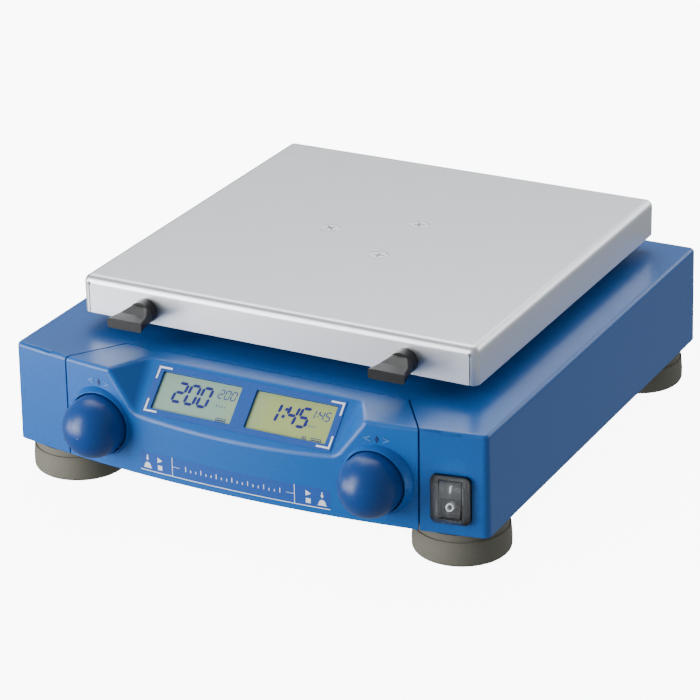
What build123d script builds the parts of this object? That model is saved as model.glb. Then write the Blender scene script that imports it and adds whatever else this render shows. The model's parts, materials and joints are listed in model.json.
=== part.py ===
from build123d import *
import math
import os

# Orbital shaker. Millimetres, +Z up, front towards -Y.
# The origin is on the bench, midway between the left and right sides
# and midway between the noses of the knobs and the back of the mains inlet.

# Housing form
housing_width = 270.0
side_depth = 270.0
front_bow = 13.3
foot_lift = 18.3
housing_height = 54.1
side_draft = 0.9
corner_radius = 4.0
top_edge_radius = 2.2
wall = 3.0
knob_reach = 31.4
inlet_stand = 3.0
merge = 1.0

# Front panel and its seam
seam_inset = 34.7
seam_taper = 19.3
seam_back = 23.0
seam_gap = 0.9
panel_wall = 2.9
lip_reach = 2.0
lip_thickness = 2.0

# Display recess and what lies in it
label_knob_gap = 24.8
label_height = 27.0
label_thickness = 0.4
display_tilt = 43.8
label_foot_in = 4.4
label_foot_height = 52.1
recess_edge_margin = 19.2
recess_rear_margin = 4.7
recess_rear_in = 29.3
recess_low_margin = 3.2
recess_low_height = 50.7
recess_low_in = 2.9
recess_corner_radius = 6.0
recess_brow_radius = 3.0
window_margin = 4.0
window_height = 20.8
window_corner_radius = 0.8
glass_depth = 1.3
glass_clearance = 0.2
lcd_rim = 2.4
lcd_thickness = 3.2
board_thickness = 1.6

# Push and turn knobs
knob_inset = 21.7
knob_height = 42.0
knob_radius = 16.1
knob_skirt = 7.1
knob_wall = 2.2
knob_boss_radius = 5.5
knob_grip_depth = 9.0
knob_travel = 1.0
collar_proud = 3.0
collar_rim_radius = 17.4
collar_flare = 0.4
well_radius = 16.8
well_depth = 6.5
well_floor = 2.5
shaft_radius = 3.0
running_clearance = 0.05
shaft_hole_clearance = 0.6
plunger_radius = 6.0
plunger_thickness = 2.2
plunger_gap = 0.3
encoder_size = 14.0
encoder_depth = 8.0
bushing_radius = 4.5
bushing_length = 7.0
shaft_tail = 5.0
control_board_inset = 5.3
control_board_low = 31.0
control_board_high = 51.0
board_post_radius = 4.0
board_post_gap = 26.6
board_post_height = 37.0

# Mains switch
switch_lean = 1.15
switch_height = 37.4
bezel_width = 20.2
bezel_height = 25.5
bezel_thickness = 2.0
bezel_radius = 3.0
bezel_seat = 0.4
switch_body_width = 16.4
switch_body_height = 21.8
switch_body_depth = 20.0
cutout_clearance = 0.3
rocker_width = 11.0
rocker_half = 9.0
rocker_swing = 9.0
rocker_pivot_depth = 3.0
rocker_valley = 1.6
rocker_crest = 3.2
rocker_depth = 6.5
rocker_keel_half = 3.6
rocker_slot_width = 11.8
rocker_slot_height = 20.8
rocker_slot_depth = 12.0
rocker_pin_radius = 1.2
rocker_pin_length = 14.4
rocker_pin_end_gap = 0.5
cover_width = 17.0
cover_height = 22.6
cover_wall = 0.8
cover_reach = 6.6

# Base plate and feet
plate_lift = 2.0
plate_thickness = 8.0
plate_clearance = 0.3
foot_inset = 24.2
foot_front_in = 20.5
foot_rear_in = 25.5
foot_radius = 25.0
foot_rim_radius = 24.4
foot_body_height = 13.5
foot_step = 0.9
foot_collar_height = 3.7
foot_neck_radius = 16.0
foot_floor_radius = 2.5
foot_recess_radius = 6.5
foot_recess_depth = 8.0
foot_screw_radius = 2.5
foot_screw_head_radius = 4.6
foot_screw_head_height = 3.0
foot_screw_length = 18.0

# Screws that hold the housing to the base plate
boss_radius = 5.0
boss_inset = 11.0
boss_front_back = 50.0
boss_rear_front = 70.0
boss_inlet_gap = 5.0
boss_back_in = 11.0
boss_screw_radius = 2.0
boss_screw_head_radius = 4.0
boss_screw_length = 18.0

# Orbit and drive
orbit_radius = 2.0
block_flange_radius = 38.0
block_flange_height = 4.0
block_column_radius = 20.0
block_height = 21.7
block_floor = 3.0
block_bolt_circle = 29.0
block_screw_angles = (45, 135, 225, 315)
block_screw_radius = 2.0
block_screw_head_radius = 3.5
block_screw_head_height = 2.5
journal_radius = 6.0
journal_end_gap = 0.3
main_bearing_radius = 14.0
main_bearing_height = 8.0
bearing_shield = 0.4
bearing_ring_share = 0.28
flywheel_radius = 44.0
flywheel_rim = 6.0
flywheel_disc = 5.4
flywheel_gap = 0.6
flywheel_drop = 16.0
flywheel_hub_radius = 11.0
pin_radius = 5.0
pin_bearing_radius = 13.0
pin_bearing_height = 8.0
pin_length = 10.0
counterweight_inner = 22.5
counterweight_outer = 37.4
counterweight_height = 7.0
counterweight_screw_circle = 30.0
counterweight_screw_angles = (225, 315)
counterweight_screw_radius = 1.5
belt_thickness = 1.4
belt_width = 8.0
belt_gap = 0.05
belt_rise = 1.2
pulley_flange = 1.0
belt_side_gap = 0.2

# Idler cranks that keep the platform square
idler_circle = 78.0
idler_first_angle = 90.0
idler_names = ("rear", "left", "right")
idler_flange_radius = 15.0
idler_flange_height = 3.7
idler_column_radius = 11.0
idler_height = 20.0
idler_journal_radius = 4.0
idler_bearing_radius = 8.0
idler_bearing_height = 5.0
idler_bearing_gap = 3.0
idler_web_radius = 10.0
idler_web_gap = 0.5
idler_pin_gap = 0.3

# Platform carrier and tray
tray_size = 226.0
tray_setback = 11.5
tray_gap = 8.4
flange_height = 20.1
sheet = 2.0
bend_radius = 4.0
slit_width = 0.6
relief_radius = 1.1
tab_length = 12.0
tab_clearance = 0.15
carrier_gap = 1.0
carrier_arm_height = 7.0
carrier_arm_half = 9.0
carrier_end_radius = 12.5
carrier_hub_radius = 33.0
carrier_bore_radius = 21.0
seat_clearance = 0.02
carrier_shoulder_radius = 9.0
hub_opening_radius = 38.0
tray_screw_circle = 27.5
tray_screw_angles = (60, 180, 300)
tray_screw_radius = 2.5
tray_screw_head_radius = 5.25
tray_screw_length = 14.0
screw_clearance = 0.1

# Clamp knobs on the front flange
clamp_inset = 38.5
clamp_drop = 12.9
clamp_hub_radius = 6.5
clamp_hub_length = 6.5
clamp_neck_length = 6.5
clamp_shoulder_height = 11.0
clamp_shoulder_radius = 5.0
clamp_reach = 22.0
clamp_wing_width = 20.0
clamp_wing_thickness = 5.3
clamp_wing_edge_radius = 1.3
clamp_face_gap = 0.3
clamp_spigot_radius = 4.0
clamp_spigot_length = 6.2
clamp_cam_length = 9.0
clamp_cam_width = 8.0
clamp_cam_wall = 1.6
clamp_cam_thickness = 3.0

# Motor
motor_distance = 85.0
motor_angle = 150.0
motor_radius = 27.0
motor_height = 21.0
motor_edge_radius = 1.2
motor_bore_depth = 15.0
motor_shaft_radius = 3.0
motor_pulley_radius = 11.0
motor_bracket_radius = 30.0
motor_bracket_thickness = 2.4
motor_post_radius = 4.0
motor_post_circle = 25.0
motor_post_turns = (-100.0, 0.0, 100.0)
motor_boss_radius = 8.0
motor_boss_height = 1.0

# Mains inlet, fuse holders, serial socket and supply
inlet_inset = 51.0
inlet_height = 44.0
inlet_width = 50.0
inlet_flange_height = 24.0
inlet_corner_radius = 3.0
inlet_body_width = 28.0
inlet_body_height = 20.6
inlet_body_depth = 21.0
inlet_recess_width = 24.4
inlet_recess_height = 16.8
inlet_recess_depth = 20.0
inlet_recess_chamfer = 4.5
inlet_pin_spread = 7.0
inlet_pin_rise = 2.2
inlet_pin_width = 2.0
inlet_pin_height = 4.0
inlet_pin_length = 14.0
pad_depth = 1.2
fuse_inlet_gap = 42.0
fuse_spread = 18.0
fuse_cap_radius = 7.0
fuse_cap_height = 2.6
fuse_edge_radius = 0.6
fuse_body_radius = 6.0
fuse_body_length = 26.0
socket_inset = 49.0
socket_width = 31.0
socket_height = 12.5
socket_shell_width = 17.6
socket_shell_height = 9.0
socket_shell_reach = 2.6
socket_corner_radius = 2.0
socket_depth = 9.0
socket_plate = 1.0
supply_boss_gap = 4.0
supply_wheel_gap = 1.0
supply_rear_gap = 15.2
supply_depth = 62.0
supply_standoff = 5.0
supply_standoff_radius = 3.5
core_width = 48.0
core_depth = 18.0
core_height = 30.0
coil_width = 30.0
coil_depth = 34.0
coil_height = 22.0
coil_corner_radius = 3.0

# Places worked out from the sizes above
housing_half = housing_width / 2
seam_half = housing_half - seam_inset
seam_rear_half = seam_half - seam_taper
knob_offset = seam_half - knob_inset
label_width = 2 * (knob_offset - label_knob_gap)
window_width = label_width / 2 - 2 * window_margin
window_offset = window_width / 2 + window_margin
recess_edge_half = label_width / 2 + recess_edge_margin
recess_rear_half = label_width / 2 + recess_rear_margin
recess_low_half = label_width / 2 + recess_low_margin
control_board_half = seam_half - control_board_inset
board_post_offset = knob_offset - board_post_gap
switch_offset = (seam_half + housing_half) / 2 - switch_lean
mid_y = (knob_reach - inlet_stand) / 2
corner_y = mid_y - side_depth / 2
rear_y = mid_y + side_depth / 2
crown_y = corner_y - front_bow
bow_radius = (housing_half ** 2 + front_bow ** 2) / (2 * front_bow)
housing_top = foot_lift + housing_height
draft_angle = math.degrees(math.atan2(side_draft, housing_height))
ceiling = housing_top - wall
plate_bottom = foot_lift + plate_lift
plate_top = plate_bottom + plate_thickness
tray_bottom = housing_top + tray_gap
tray_top = tray_bottom + flange_height
tray_y = mid_y + tray_setback
drive_y = tray_y - orbit_radius
tray_front = tray_y - tray_size / 2
knob_centre_y = corner_y - knob_reach + knob_radius
knob_back_y = knob_centre_y + knob_skirt


def front_y(x, z=foot_lift):
    """Front face of the housing at a place across and a height."""
    sag = bow_radius - math.sqrt(bow_radius ** 2 - x ** 2)
    return crown_y + sag + side_draft * (z - foot_lift) / housing_height


rim_y = front_y(knob_offset, knob_height) - collar_proud
well_y = rim_y + well_depth
panel_back_y = well_y + well_floor
plunger_y = panel_back_y + plunger_gap
bushing_y = plunger_y + plunger_thickness + knob_travel + plunger_gap
encoder_y = bushing_y + bushing_length
control_board_y = encoder_y + encoder_depth
block_top = plate_top + block_height
flywheel_bottom = block_top + flywheel_gap
flywheel_top = flywheel_bottom + flywheel_disc
rim_bottom = flywheel_top - flywheel_drop - flywheel_disc
belt_bottom = rim_bottom + belt_rise
carrier_bottom = flywheel_top + carrier_gap
carrier_top = tray_top - sheet
idler_top = plate_top + idler_height
motor_x = motor_distance * math.cos(math.radians(motor_angle))
motor_y = drive_y + motor_distance * math.sin(math.radians(motor_angle))
bracket_bottom = belt_bottom + belt_width + belt_rise
motor_bottom = bracket_bottom + motor_bracket_thickness
clamp_z = tray_top - clamp_drop
clamp_offset = tray_size / 2 - clamp_inset
inlet_face_y = rear_y - pad_depth
inlet_offset = housing_half - inlet_inset
fuse_offset = inlet_offset - fuse_inlet_gap
socket_offset = socket_inset - housing_half
boss_offset = housing_half - boss_inset
boss_back_offset = inlet_offset - inlet_body_width / 2 - boss_radius - boss_inlet_gap
supply_left = flywheel_radius + supply_wheel_gap
supply_right = boss_offset - boss_radius - supply_boss_gap
supply_width = supply_right - supply_left
supply_x = (supply_left + supply_right) / 2
supply_y = rear_y - inlet_body_depth - supply_rear_gap - supply_depth / 2
idler_step = 360 / len(idler_names)
idler_angles = {name: idler_first_angle + idler_step * i for i, name in enumerate(idler_names)}
sides = {"left": -1, "right": 1}
fuse_heights = (inlet_height - fuse_spread / 2, inlet_height + fuse_spread / 2)


def upright(radius, low, high, x=0.0, y=0.0):
    """Cylinder standing between two heights."""
    return Pos(x, y, low) * extrude(Circle(radius), high - low)


def lying(radius, front, back, x=0.0, z=0.0):
    """Cylinder lying front to back between two places along Y."""
    return Pos(x, front, z) * Rot(-90, 0, 0) * extrude(Circle(radius), back - front)


def block(low, high):
    """Box between two corners."""
    size = [h - l for l, h in zip(low, high)]
    middle = [(l + h) / 2 for l, h in zip(low, high)]
    return Pos(*middle) * Box(*size)


def around(circle, angles, centre_y=0.0):
    """Places on a circle about the middle of the machine, one for each angle."""
    turns = [math.radians(angle) for angle in angles]
    return [(circle * math.cos(turn), centre_y + circle * math.sin(turn)) for turn in turns]


def turned(points):
    """Solid turned about the Y axis from (radius, y) points."""
    return revolve(make_face(Polyline(*points, close=True)), Axis.Y)


def stood(points):
    """Solid turned about the Z axis from (radius, z) points."""
    return Rot(90, 0, 0) * turned(points)


def outline(inset=0.0):
    """Plan of the housing, bowed at the front, drawn in from the skin."""
    right = [(housing_half, corner_y), (housing_half, rear_y)]
    corners = right + [(-x, y) for x, y in reversed(right)]
    sides_and_back = Polyline(*corners)
    front = ThreePointArc(corners[3], (0, crown_y), corners[0])
    plan = make_face([sides_and_back, front])
    if inset > 0:
        plan = offset(plan, -inset, kind=Kind.INTERSECTION)
    return fillet(plan.vertices(), max(corner_radius - inset, 1.0))


def body_form(inset=0.0):
    """Drafted block that the skin follows, open to any inset."""
    plan = Pos(0, 0, foot_lift) * outline(inset)
    form = extrude(plan, housing_height - inset, taper=draft_angle)
    if inset > 0:
        return form
    return fillet(form.faces().sort_by(Axis.Z)[-1].edges(), top_edge_radius)


def panel_prism(grow=0.0):
    """Upright block over the front panel, grown or shrunk at its seam."""
    shoulder_y = front_y(seam_half, housing_top)
    ahead_y = crown_y - 4 * wall
    half_plan = [(seam_half, ahead_y), (seam_half, shoulder_y), (seam_rear_half, corner_y + seam_back)]
    plan = half_plan + [(-x, y) for x, y in reversed(half_plan)]
    face = offset(make_face(Polyline(*plan, close=True)), grow, kind=Kind.INTERSECTION)
    return Pos(0, 0, foot_lift - wall) * extrude(face, housing_height + 2 * wall)


def display_plane(lift=0.0):
    """Plane of the sloping display, with its origin at the label's lower edge."""
    tilt = math.radians(display_tilt)
    foot = Vector(0, crown_y + label_foot_in, label_foot_height)
    normal = Vector(0, -math.sin(tilt), math.cos(tilt))
    return Plane(origin=foot + normal * lift, x_dir=(1, 0, 0), z_dir=normal)


def recess_side():
    """Slope of the recess's side wall: half width from y and z."""
    edge = (recess_edge_half, front_y(recess_edge_half, housing_top), housing_top)
    rear = (recess_rear_half, crown_y + recess_rear_in, housing_top)
    low = (recess_low_half, crown_y + recess_low_in, recess_low_height)
    per_y = (rear[0] - edge[0]) / (rear[1] - edge[1])
    per_z = (edge[0] - low[0] - per_y * (edge[1] - low[1])) / (edge[2] - low[2])
    return edge, per_y, per_z


def recess_form(grow=0.0):
    """Wedge above the display plane, between the two sloping side walls."""
    edge, per_y, per_z = recess_side()
    spread = grow * math.sqrt(1 + per_y ** 2 + per_z ** 2)
    layers = []
    for lift in (-grow, label_height):
        plane = display_plane(lift)
        rows = []
        for up in (-label_height / 2, 2 * label_height):
            spot = plane.from_local_coords((0, up, 0))
            y, z = spot.Y, spot.Z
            half = edge[0] + per_y * (y - edge[1]) + per_z * (z - edge[2]) + spread
            rows.append((half, up))
        (low_half, low), (high_half, high) = rows
        quad = [(-low_half, low), (low_half, low), (high_half, high), (-high_half, high)]
        layers.append(plane * make_face(Polyline(*quad, close=True)))
    wedge = loft(layers, ruled=True)
    if grow > 0:
        return wedge
    plane = display_plane()
    floor = wedge.faces().sort_by(Axis(plane.origin, plane.z_dir))[0]
    runs = floor.edges().sort_by(Axis.X)
    return fillet([runs[0], runs[-1]], recess_corner_radius)


def recess_brow(skin):
    """Edge where the display slope meets the top of the housing."""
    top_edges = skin.faces().sort_by(Axis.Z)[-1].edges().filter_by(Axis.X)
    return top_edges.sort_by(Axis.Y)[0]


def on_display(part, across=0.0, up=0.0, lift=0.0):
    """Move a part modelled at the origin onto the display plane."""
    plane = display_plane(lift)
    return plane.location * Pos(across, up, 0) * part


def window_shape():
    """Outline of a display window."""
    return RectangleRounded(window_width, window_height, window_corner_radius)


def collar_and_well(x):
    """Raised ring round a knob, with the cup that the knob's skirt runs in."""
    back = well_depth + well_floor
    cup_radius = well_radius + well_floor
    flare_end = (cup_radius - collar_rim_radius) / collar_flare
    profile = [(0, 0), (collar_rim_radius, 0), (cup_radius, flare_end), (cup_radius, back), (0, back)]
    return Pos(x, rim_y, knob_height) * turned(profile)


def make_front_panel():
    """Moulded front shell with the display recess, windows, knob wells and board posts."""
    skin = body_form() - recess_form()
    skin = fillet(recess_brow(skin), recess_brow_radius)
    panel = skin - (body_form(panel_wall) - recess_form(panel_wall))
    panel &= panel_prism(-seam_gap / 2)
    for side in sides.values():
        post_x = side * board_post_offset
        post_front = front_y(board_post_offset, board_post_height) + panel_wall / 2
        panel += lying(board_post_radius, post_front, control_board_y, post_x, board_post_height)
        panel += collar_and_well(side * knob_offset)
        panel -= lying(well_radius, rim_y - wall, well_y, side * knob_offset, knob_height)
        hole = shaft_radius + shaft_hole_clearance
        panel -= lying(hole, rim_y, panel_back_y + wall, side * knob_offset, knob_height)
    window = extrude(window_shape(), 4 * panel_wall, both=True)
    for side in sides.values():
        panel -= on_display(window, side * window_offset, label_height / 2)
    return panel


def bearing(inner, outer, height, low, x, y):
    """Sealed ball bearing: two rings with a shield set in between them."""
    ring = (outer - inner) * bearing_ring_share
    near = inner + ring
    far = outer - ring
    high = low + height
    set_low = low + bearing_shield
    set_high = high - bearing_shield
    below = [(inner, low), (near, low), (near, set_low), (far, set_low), (far, low), (outer, low)]
    above = [(outer, high), (far, high), (far, set_high), (near, set_high), (near, high), (inner, high)]
    return Pos(x, y, 0) * stood(below + above)


def screw(shank, head, head_height, length, countersunk=False):
    """Screw pointing down from the plane under its head, or from the top of a countersunk head."""
    if countersunk:
        slope = head - shank
        points = [(0, 0), (head, 0), (shank, -slope), (shank, -length), (0, -length)]
    else:
        top = [(0, head_height), (head, head_height), (head, 0)]
        points = top + [(shank, 0), (shank, -length), (0, -length)]
    return stood(points)


def countersink(shank, head, length):
    """Tool for the hole of a countersunk screw, with its clearance."""
    return screw(shank + screw_clearance, head + screw_clearance, 0, length, countersunk=True)


def boss_places():
    """Where the housing is screwed to the base plate."""
    places = []
    for side in sides.values():
        places.append((side * boss_offset, corner_y + boss_front_back))
        places.append((side * boss_offset, rear_y - boss_rear_front))
        places.append((side * boss_back_offset, rear_y - boss_back_in))
    return places


def foot_places():
    """Where the four feet stand, by name."""
    places = {}
    for side, sign in sides.items():
        places[f"front_{side}"] = (sign * (housing_half - foot_inset), corner_y + foot_front_in)
        places[f"rear_{side}"] = (sign * (housing_half - foot_inset), rear_y - foot_rear_in)
    return places


def switch_location():
    """Place of the switch on the bowed front, facing straight out of it."""
    turn = math.degrees(math.asin(switch_offset / bow_radius))
    face_y = front_y(switch_offset, switch_height)
    return Pos(switch_offset, face_y, switch_height) * Rot(0, 0, turn)


def well_relief(side):
    """Room for the back of a knob well, as a cutting tool."""
    radius = well_radius + well_floor + plate_clearance
    return lying(radius, crown_y, panel_back_y + plate_clearance, side * knob_offset, knob_height)


def rear_cutouts():
    """Openings in the back wall for the inlet, the fuse holders and the socket."""
    half = inlet_width / 2 + cutout_clearance
    tall = inlet_flange_height / 2 + cutout_clearance
    low = (inlet_offset - half, inlet_face_y, inlet_height - tall)
    cut = block(low, (inlet_offset + half, rear_y + wall, inlet_height + tall))
    cut += Pos(inlet_offset, rear_y, inlet_height) * Box(
        inlet_body_width + 2 * cutout_clearance, 4 * wall, inlet_body_height + 2 * cutout_clearance
    )
    cut += Pos(socket_offset, rear_y, inlet_height) * Box(
        socket_shell_width + 2 * cutout_clearance, 4 * wall, socket_shell_height + 2 * cutout_clearance
    )
    hole = fuse_body_radius + cutout_clearance
    for z in fuse_heights:
        cut += lying(hole, rear_y - 2 * wall, rear_y + wall, fuse_offset, z)
    return cut


def make_housing():
    """Cast housing shell with a rebate for the front panel, screw bosses and openings."""
    shell = body_form() - body_form(wall) - panel_prism(seam_gap / 2)
    lip = body_form(wall) - body_form(wall + lip_thickness)
    lip &= panel_prism(lip_reach) - panel_prism(-lip_reach)
    lip -= block((-side_depth, -side_depth, 0), (side_depth, side_depth, plate_top + plate_clearance))
    for side in sides.values():
        lip -= well_relief(side)
    shell += lip
    for x, y in boss_places():
        shell += upright(boss_radius, plate_top, ceiling + wall / 2, x, y)
        hole_top = plate_bottom + boss_screw_length + wall
        shell -= upright(boss_screw_radius + screw_clearance, plate_bottom, hole_top, x, y)
    shell -= upright(hub_opening_radius, ceiling - wall, housing_top + wall, 0, drive_y)
    room = 2 * cutout_clearance
    shell -= switch_location() * Box(switch_body_width + room, 6 * wall, switch_body_height + room)
    seat = RectangleRounded(bezel_width + room, bezel_height + room, bezel_radius + cutout_clearance)
    shell -= switch_location() * Pos(0, bezel_seat, 0) * Rot(90, 0, 0) * extrude(seat, wall)
    return shell - rear_cutouts()


def make_display_label():
    """Thin printed overlay with a window over each display."""
    sheet_face = Rectangle(label_width, label_height)
    for side in sides.values():
        sheet_face -= Pos(side * window_offset, 0) * window_shape()
    return on_display(extrude(sheet_face, label_thickness), up=label_height / 2)


def make_lcd(side):
    """Display module: a glass set in the window, with a wider body behind the panel."""
    front = label_thickness - glass_depth
    glass_width = window_width - 2 * glass_clearance
    glass_height = window_height - 2 * glass_clearance
    glass = Pos(0, 0, -panel_wall) * extrude(Rectangle(glass_width, glass_height), panel_wall + front)
    rim = Rectangle(window_width + 2 * lcd_rim, window_height + 2 * lcd_rim)
    back = Pos(0, 0, -panel_wall - lcd_thickness) * extrude(rim, lcd_thickness)
    return on_display(glass + back, side * window_offset, label_height / 2)


def make_display_board():
    """Board that carries both displays, parallel to the sloping face."""
    face = Rectangle(label_width, window_height + 2 * lcd_rim)
    board = Pos(0, 0, -panel_wall - lcd_thickness - board_thickness) * extrude(face, board_thickness)
    return on_display(board, up=label_height / 2)


def make_control_board():
    """Upright board behind the knobs, standing on the panel's two posts."""
    low = (-control_board_half, control_board_y, control_board_low)
    high = (control_board_half, control_board_y + board_thickness, control_board_high)
    return block(low, high)


def knob_form(radius):
    """Half ball with a straight skirt."""
    nose = (0, knob_centre_y - radius)
    rim = (radius, knob_centre_y)
    bulge = radius * math.sqrt(0.5)
    dome = ThreePointArc(nose, (bulge, knob_centre_y - bulge), rim)
    skirt = Polyline(rim, (radius, knob_back_y), (0, knob_back_y), nose)
    return revolve(make_face([dome, skirt]), Axis.Y)


def make_knob(x):
    """Domed push knob, hollow behind, with a boss for the shaft."""
    inner = knob_radius - knob_wall
    boss = lying(knob_boss_radius, knob_centre_y - inner, knob_back_y)
    knob = knob_form(knob_radius) - (knob_form(inner) - boss)
    knob -= lying(shaft_radius, knob_back_y - knob_grip_depth, knob_back_y)
    return Pos(x, 0, knob_height) * knob


def make_knob_shaft(x):
    """Steel shaft from the knob's boss into the encoder."""
    return lying(shaft_radius, knob_back_y - knob_grip_depth, encoder_y + shaft_tail, x, knob_height)


def make_plunger(x):
    """Ring on the shaft that passes the push on to the encoder's switch."""
    ring = lying(plunger_radius, plunger_y, plunger_y + plunger_thickness, x, knob_height)
    return ring - lying(shaft_radius + running_clearance, plunger_y, encoder_y, x, knob_height)


def make_encoder(x):
    """Rotary encoder with its threaded bushing, on the control board."""
    half = encoder_size / 2
    body = block((-half, encoder_y, -half), (half, control_board_y, half))
    body += lying(bushing_radius, bushing_y, encoder_y + merge)
    end = encoder_y + shaft_tail + knob_travel + plunger_gap
    body -= lying(shaft_radius + running_clearance, bushing_y - merge, end)
    return Pos(x, 0, knob_height) * body


def make_switch_body():
    """Bezel and body of the mains switch, hollow where the rocker swings."""
    bezel_face = RectangleRounded(bezel_width, bezel_height, bezel_radius)
    bezel = Pos(0, bezel_seat, 0) * Rot(90, 0, 0) * extrude(bezel_face, bezel_thickness + bezel_seat)
    half = switch_body_width / 2
    tall = switch_body_height / 2
    body = bezel + block((-half, 0, -tall), (half, switch_body_depth, tall))
    slot_half = rocker_slot_width / 2
    slot_tall = rocker_slot_height / 2
    front = -2 * bezel_thickness
    body -= block((-slot_half, front, -slot_tall), (slot_half, rocker_slot_depth, slot_tall))
    pin = rocker_pin_radius + running_clearance
    socket_length = rocker_pin_length + 2 * rocker_pin_end_gap
    body -= Pos(0, rocker_pivot_depth, 0) * Rot(0, 90, 0) * Cylinder(pin, socket_length)
    return switch_location() * body


def make_rocker():
    """Rocker with two faces that meet in a shallow valley, resting pressed at the top."""
    upper = [(rocker_half, -rocker_crest), (rocker_half, 0), (rocker_keel_half, rocker_depth)]
    profile = [(0, -rocker_valley)] + upper + [(-z, y) for z, y in reversed(upper)]
    points = [(y - rocker_pivot_depth, z) for z, y in profile]
    face = Plane.YZ * make_face(Polyline(*points, close=True))
    body = extrude(face, rocker_width / 2, both=True)
    body += Rot(0, 90, 0) * Cylinder(rocker_pin_radius, rocker_pin_length)
    turned_on = Rot(-rocker_swing, 0, 0) * body
    return switch_location() * Pos(0, rocker_pivot_depth, 0) * turned_on


def make_switch_cover():
    """Clear flexible splash cover pressed over the bezel."""
    def slab(shrink, reach, start):
        width = cover_width - 2 * shrink
        height = cover_height - 2 * shrink
        face = RectangleRounded(width, height, bezel_radius - shrink)
        return Pos(0, start, 0) * Rot(90, 0, 0) * extrude(face, reach)

    shell = slab(0, cover_reach - bezel_thickness, -bezel_thickness)
    front = shell.faces().sort_by(Axis.Y)[0]
    shell = fillet(front.edges(), 2 * cover_wall)
    shell -= slab(cover_wall, cover_reach - bezel_thickness - cover_wall, -bezel_thickness)
    return switch_location() * shell


def make_base_plate():
    """Heavy steel plate that closes the housing and carries the drive."""
    plan = Pos(0, 0, plate_bottom) * outline(wall + plate_clearance)
    plate = extrude(plan, plate_thickness)
    for side in sides.values():
        plate -= well_relief(side)
    room = 2 * cutout_clearance
    deep = 2 * (switch_body_depth + room)
    plate -= switch_location() * Box(switch_body_width + room, deep, switch_body_height + room)
    for x, y in boss_places():
        hole = countersink(boss_screw_radius, boss_screw_head_radius, 2 * plate_thickness)
        plate -= Pos(x, y, plate_bottom) * Rot(180, 0, 0) * hole
    for x, y in foot_places().values():
        plate -= upright(foot_screw_radius + screw_clearance, plate_bottom, plate_top, x, y)
    return plate


def make_foot(x, y):
    """Rubber foot with a rounded lower edge, a stepped collar and a recess for its screw."""
    collar = foot_rim_radius - foot_step
    collar_top = foot_body_height + foot_collar_height
    body = [(0, 0), (foot_radius, 0), (foot_radius, foot_body_height / 2), (foot_rim_radius, foot_body_height)]
    step = [(collar, foot_body_height), (collar, collar_top)]
    neck = [(foot_neck_radius, collar_top), (foot_neck_radius, plate_bottom), (0, plate_bottom)]
    foot = stood(body + step + neck)
    lower = foot.edges().filter_by(GeomType.CIRCLE).sort_by(Axis.Z)[0]
    foot = fillet(lower, foot_floor_radius)
    foot -= upright(foot_recess_radius, 0, foot_recess_depth)
    foot -= upright(foot_screw_radius + screw_clearance, 0, plate_bottom)
    return Pos(x, y, 0) * foot


def make_foot_screws():
    """Screws that hold the feet, with their heads up in the recesses."""
    one = screw(foot_screw_radius, foot_screw_head_radius, foot_screw_head_height, foot_screw_length)
    return [Pos(x, y, foot_recess_depth) * Rot(180, 0, 0) * one for x, y in foot_places().values()]


def make_housing_screws():
    """Countersunk screws up through the base plate into the housing's bosses."""
    one = screw(boss_screw_radius, boss_screw_head_radius, 0, boss_screw_length, countersunk=True)
    return [Pos(x, y, plate_bottom) * Rot(180, 0, 0) * one for x, y in boss_places()]


def block_screw_places():
    """Four places round the bearing block's flange."""
    return around(block_bolt_circle, block_screw_angles, drive_y)


def make_bearing_block():
    """Cast pedestal for the crankshaft's two bearings."""
    high = plate_top + block_flange_height
    pedestal = upright(block_flange_radius, plate_top, high, 0, drive_y)
    pedestal += upright(block_column_radius, plate_top, block_top, 0, drive_y)
    seat = main_bearing_radius + seat_clearance
    pedestal -= upright(seat, plate_top + block_floor, block_top + merge, 0, drive_y)
    for x, y in block_screw_places():
        pedestal -= upright(block_screw_radius + screw_clearance, plate_top, block_top, x, y)
    return pedestal


def make_main_bearings():
    """Two bearings, one at the floor of the block and one flush with its top."""
    bore = journal_radius + running_clearance
    lows = (plate_top + block_floor, block_top - main_bearing_height)
    return [bearing(bore, main_bearing_radius, main_bearing_height, low, 0, drive_y) for low in lows]


def make_block_screws():
    """Screws through the block's flange into the base plate."""
    one = screw(block_screw_radius, block_screw_head_radius, block_screw_head_height, block_flange_height)
    high = plate_top + block_flange_height
    return [Pos(x, y, high) * one for x, y in block_screw_places()]


def make_crankshaft():
    """Journal, hub and the pin that stands off centre by the orbit's radius."""
    foot = plate_top + block_floor + journal_end_gap
    shaft = upright(journal_radius, foot, flywheel_bottom + merge, 0, drive_y)
    shaft += upright(flywheel_hub_radius, flywheel_bottom, flywheel_top, 0, drive_y)
    return shaft + upright(pin_radius, flywheel_top - merge, flywheel_top + pin_length, 0, tray_y)


def make_flywheel():
    """Cup-shaped flywheel over the bearing block, with the belt's track on its rim."""
    inner = flywheel_radius - flywheel_rim
    lip = flywheel_radius + pulley_flange
    low = belt_bottom - belt_side_gap
    high = belt_bottom + belt_width + belt_side_gap
    track = [(lip, rim_bottom), (lip, low), (flywheel_radius, low), (flywheel_radius, high)]
    track += [(lip, high), (lip, flywheel_top)]
    hub = flywheel_hub_radius + seat_clearance
    inside = [(hub, flywheel_top), (hub, flywheel_bottom), (inner, flywheel_bottom), (inner, rim_bottom)]
    wheel = Pos(0, drive_y, 0) * stood(track + inside)
    for x, y in counterweight_screw_places():
        hole = countersink(counterweight_screw_radius, 2 * counterweight_screw_radius, 2 * flywheel_disc)
        wheel -= Pos(x, y, flywheel_top) * hole
    return wheel


def counterweight_screw_places():
    """Two places on the side away from the crank pin."""
    return around(counterweight_screw_circle, counterweight_screw_angles, drive_y)


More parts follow.
